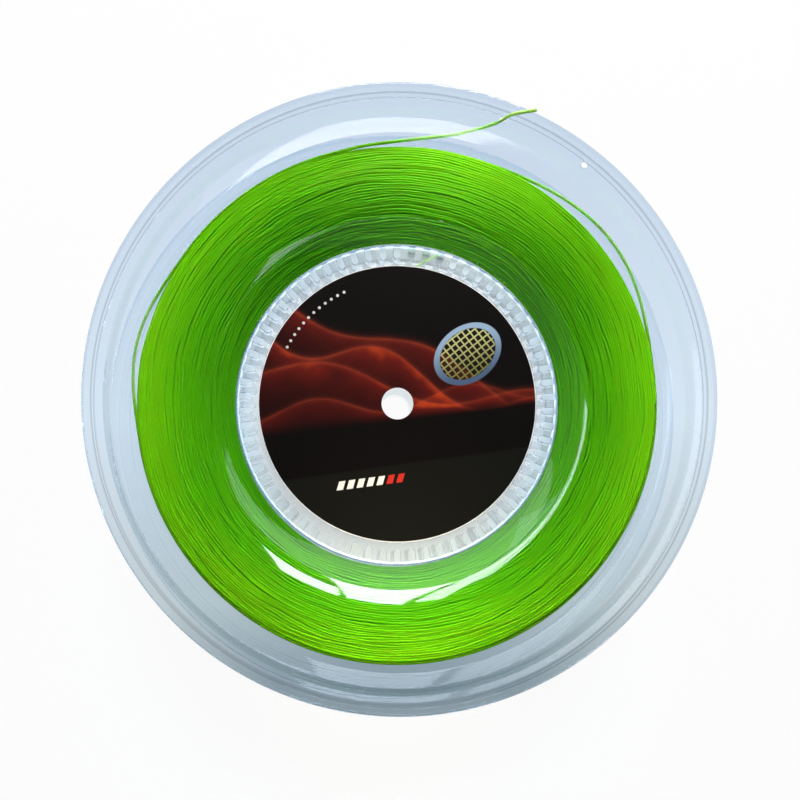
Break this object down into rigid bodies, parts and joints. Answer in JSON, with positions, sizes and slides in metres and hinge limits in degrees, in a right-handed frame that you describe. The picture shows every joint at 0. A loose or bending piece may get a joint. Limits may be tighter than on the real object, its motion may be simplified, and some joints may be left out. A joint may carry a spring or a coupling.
{
  "type": "string reel",
  "caption": "Clear two-flange reel with a castellated drum, a spindle hole and a round label, wound with green racket string whose loose end is clipped through the rim.",
  "frame": {"origin": "on the reel's axis, at the rear rim that it lies on", "axes": "+Z along the reel's axis, out of the labelled face; +Y to the side where the loose end leaves the winding; +X to the right of it, seen from the label"},
  "size_m": [0.27, 0.27, 0.0479],
  "materials": {
    "clear_flange": "clear, polished",
    "clear_hub": "clear, polished",
    "label_paper": "coated print",
    "string": "semi-gloss, slightly translucent"
  },
  "bodies": {
    "root": {"front_flange": "clear_flange", "rear_flange": "clear_flange", "hub_drum": "clear_hub", "spindle_bush": "clear_hub", "front_label": "label_paper", "string_winding": "string", "string_outer_layer": "string", "string_slack_turn": "string", "string_free_end": "string", "string_start_end": "string"}
  },
  "joints": []
}
